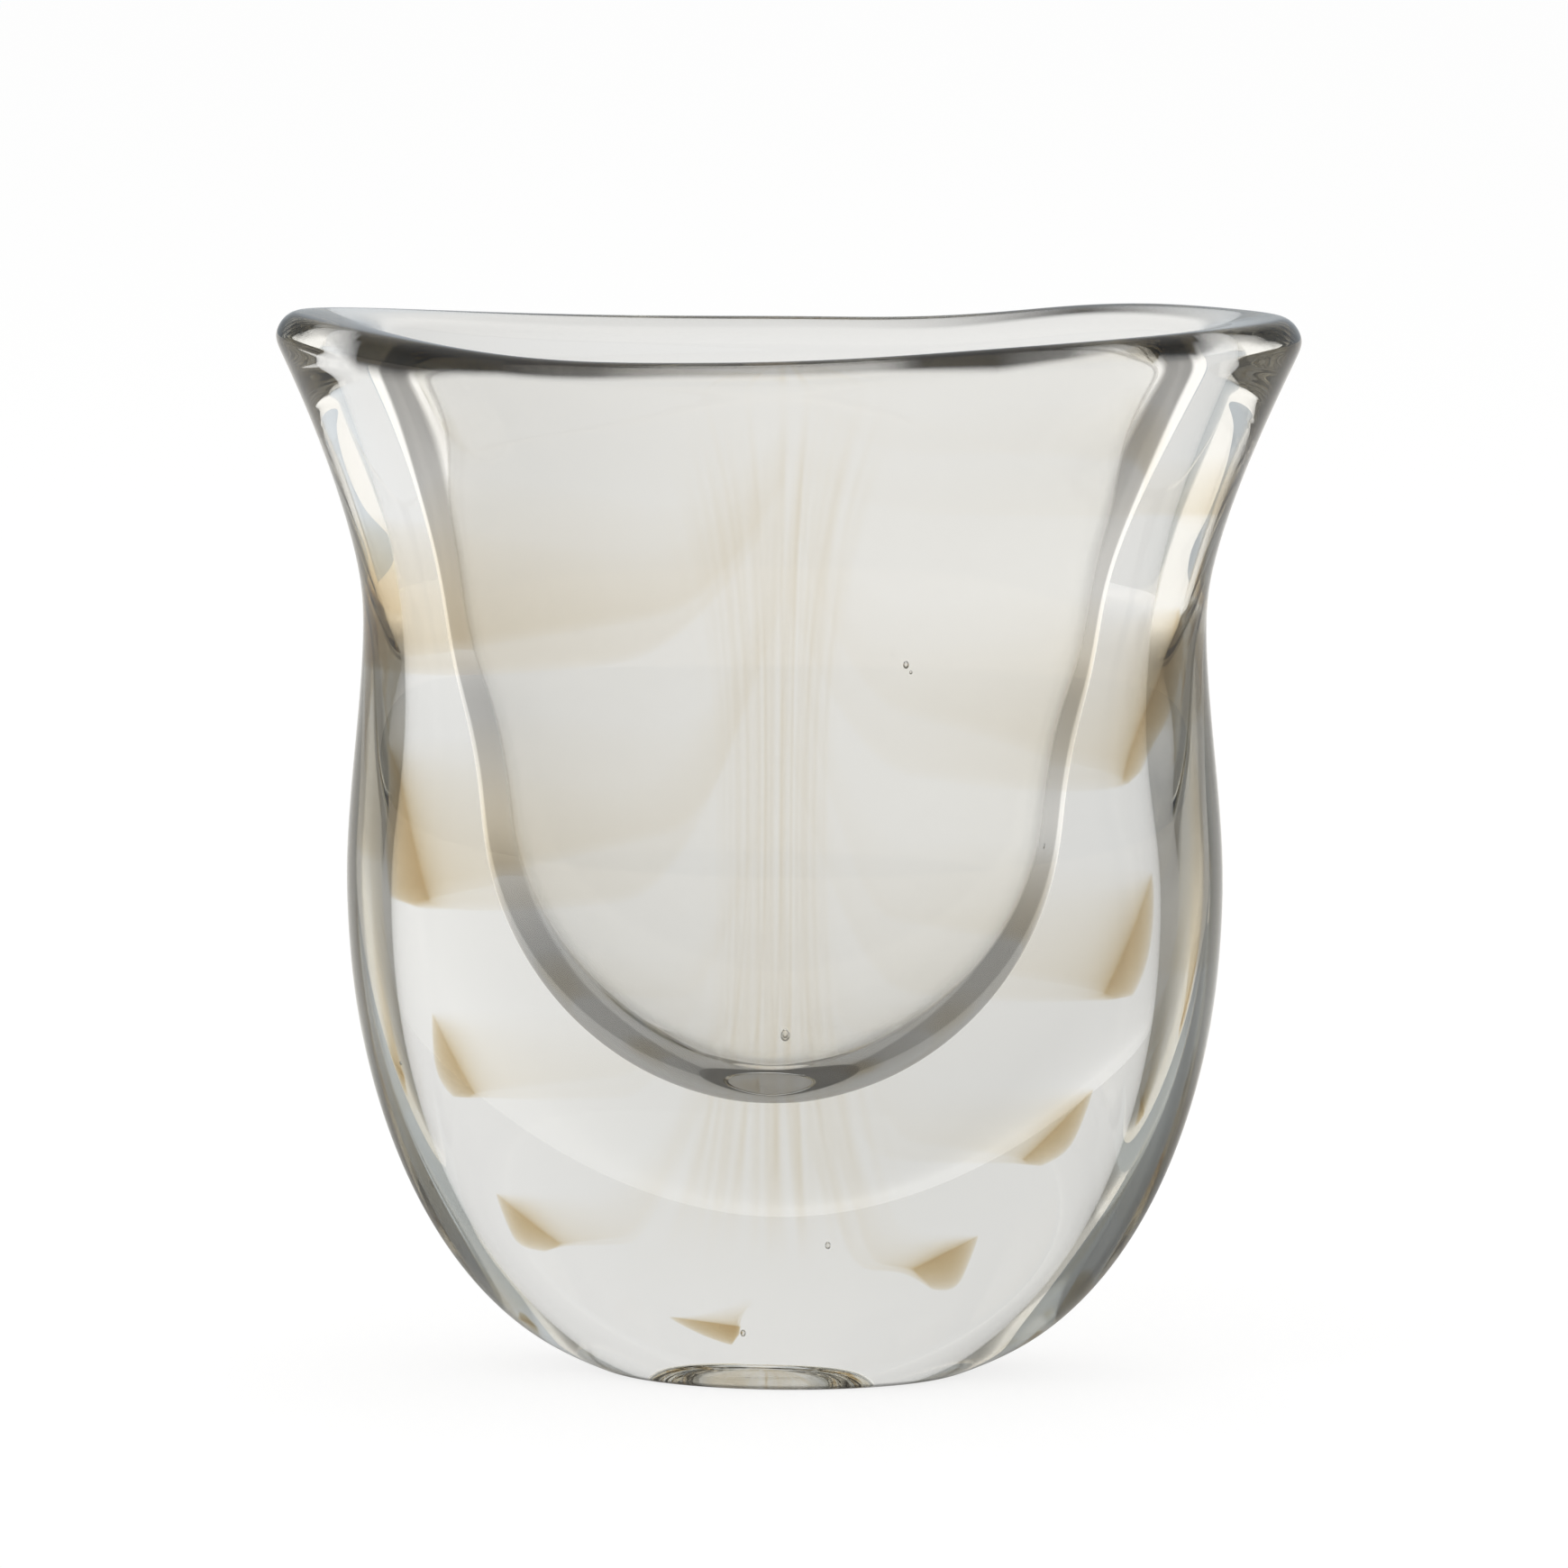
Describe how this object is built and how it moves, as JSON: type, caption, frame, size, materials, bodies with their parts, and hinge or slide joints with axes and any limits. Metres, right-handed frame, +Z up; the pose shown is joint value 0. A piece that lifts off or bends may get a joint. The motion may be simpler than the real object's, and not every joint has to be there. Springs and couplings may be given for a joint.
{
  "type": "fan vase",
  "caption": "Heavy flattened vase of cased clear glass with a deep pocket, a wavy flared mouth and a combed amber trail between its layers.",
  "frame": {"origin": "the middle of the vase's box, on the surface that the foot rests on", "axes": "+Z up, the wide axis along X, the front faces -Y and the thin axis is Y"},
  "size_m": [0.184, 0.0762, 0.1899],
  "materials": {
    "casing_glass": "clear, faintly warm grey, fire polished, with a ground foot",
    "gather_glass": "clear, faintly warm grey, with a few seed bubbles",
    "amber_glass": "transparent amber, darker where it is seen edge on"
  },
  "bodies": {
    "root": {"outer_casing": "casing_glass", "inner_gather": "gather_glass", "amber_swag_right_1": "amber_glass", "amber_swag_left_1": "amber_glass", "amber_swag_right_2": "amber_glass", "amber_swag_left_2": "amber_glass", "amber_swag_right_3": "amber_glass", "amber_swag_left_3": "amber_glass", "amber_swag_right_4": "amber_glass", "amber_swag_left_4": "amber_glass", "amber_swag_right_5": "amber_glass", "amber_tail": "amber_glass"}
  },
  "joints": []
}
